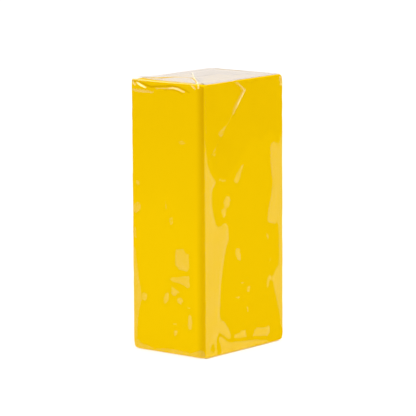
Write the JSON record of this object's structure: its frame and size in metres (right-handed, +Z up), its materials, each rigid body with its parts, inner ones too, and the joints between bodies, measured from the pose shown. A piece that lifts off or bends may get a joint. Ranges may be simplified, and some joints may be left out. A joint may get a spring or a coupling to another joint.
{
  "type": "clay bar",
  "caption": "Rectangular block of detailing clay, folded into clear film like a parcel, with laps, tucks and end flaps that open on their folds.",
  "frame": {"origin": "middle of the base that the bar stands on", "axes": "+Z up along the bar's length, +X along its wide side, +Y towards the side with the sleeve's lap"},
  "size_m": [0.034, 0.026, 0.0737],
  "materials": {
    "clay": "smooth yellow polymer clay, satin",
    "film": "thin clear glossy film"
  },
  "bodies": {
    "wrapped_bar": {"clay_bar": "clay", "film_sleeve": "film"},
    "side_lap": {"side_lap": "film"},
    "lap_corner": {"lap_corner": "film"},
    "top_outer_flap": {"top_outer_flap": "film"},
    "top_inner_flap": {"top_inner_flap": "film"},
    "top_left_tuck": {"top_left_tuck": "film"},
    "top_right_tuck": {"top_right_tuck": "film"},
    "bottom_outer_flap": {"bottom_outer_flap": "film"},
    "bottom_inner_flap": {"bottom_inner_flap": "film"},
    "bottom_left_tuck": {"bottom_left_tuck": "film"},
    "bottom_right_tuck": {"bottom_right_tuck": "film"}
  },
  "joints": [
    {"name": "side_lap_peel", "type": "hinge", "parent": "wrapped_bar", "child": "side_lap", "pos_m": [-0.004, 0.013, 0], "axis": [0, 0, 1], "range_deg": [0, 120]},
    {"name": "lap_corner_peel", "type": "hinge", "parent": "wrapped_bar", "child": "lap_corner", "pos_m": [-0.0164, -0.013, 0], "axis": [0, 0, -1], "range_deg": [0, 160]},
    {"name": "top_outer_fold", "type": "hinge", "parent": "wrapped_bar", "child": "top_outer_flap", "pos_m": [0, -0.0124, 0.0737], "axis": [1, 0, 0], "range_deg": [0, 150]},
    {"name": "top_inner_fold", "type": "hinge", "parent": "wrapped_bar", "child": "top_inner_flap", "pos_m": [0, 0.0124, 0.0734], "axis": [-1, 0, 0], "range_deg": [0, 90]},
    {"name": "top_left_fold", "type": "hinge", "parent": "wrapped_bar", "child": "top_left_tuck", "pos_m": [-0.0167, 0, 0.0731], "axis": [0, -1, 0], "range_deg": [0, 60]},
    {"name": "top_right_fold", "type": "hinge", "parent": "wrapped_bar", "child": "top_right_tuck", "pos_m": [0.0167, 0, 0.0731], "axis": [0, 1, 0], "range_deg": [0, 60]},
    {"name": "bottom_outer_fold", "type": "hinge", "parent": "wrapped_bar", "child": "bottom_outer_flap", "pos_m": [0, -0.0124, 0], "axis": [-1, 0, 0], "range_deg": [0, 150]},
    {"name": "bottom_inner_fold", "type": "hinge", "parent": "wrapped_bar", "child": "bottom_inner_flap", "pos_m": [0, 0.0124, 0.0003], "axis": [1, 0, 0], "range_deg": [0, 90]},
    {"name": "bottom_left_fold", "type": "hinge", "parent": "wrapped_bar", "child": "bottom_left_tuck", "pos_m": [-0.0167, 0, 0.0006], "axis": [0, 1, 0], "range_deg": [0, 60]},
    {"name": "bottom_right_fold", "type": "hinge", "parent": "wrapped_bar", "child": "bottom_right_tuck", "pos_m": [0.0167, 0, 0.0006], "axis": [0, -1, 0], "range_deg": [0, 60]}
  ],
  "couplings": [
    {"joint": "top_inner_fold", "follows": "top_outer_fold", "ratio": 0.6},
    {"joint": "top_left_fold", "follows": "top_outer_fold", "ratio": 0.4},
    {"joint": "top_right_fold", "follows": "top_outer_fold", "ratio": 0.4},
    {"joint": "bottom_inner_fold", "follows": "bottom_outer_fold", "ratio": 0.6},
    {"joint": "bottom_left_fold", "follows": "bottom_outer_fold", "ratio": 0.4},
    {"joint": "bottom_right_fold", "follows": "bottom_outer_fold", "ratio": 0.4}
  ]
}
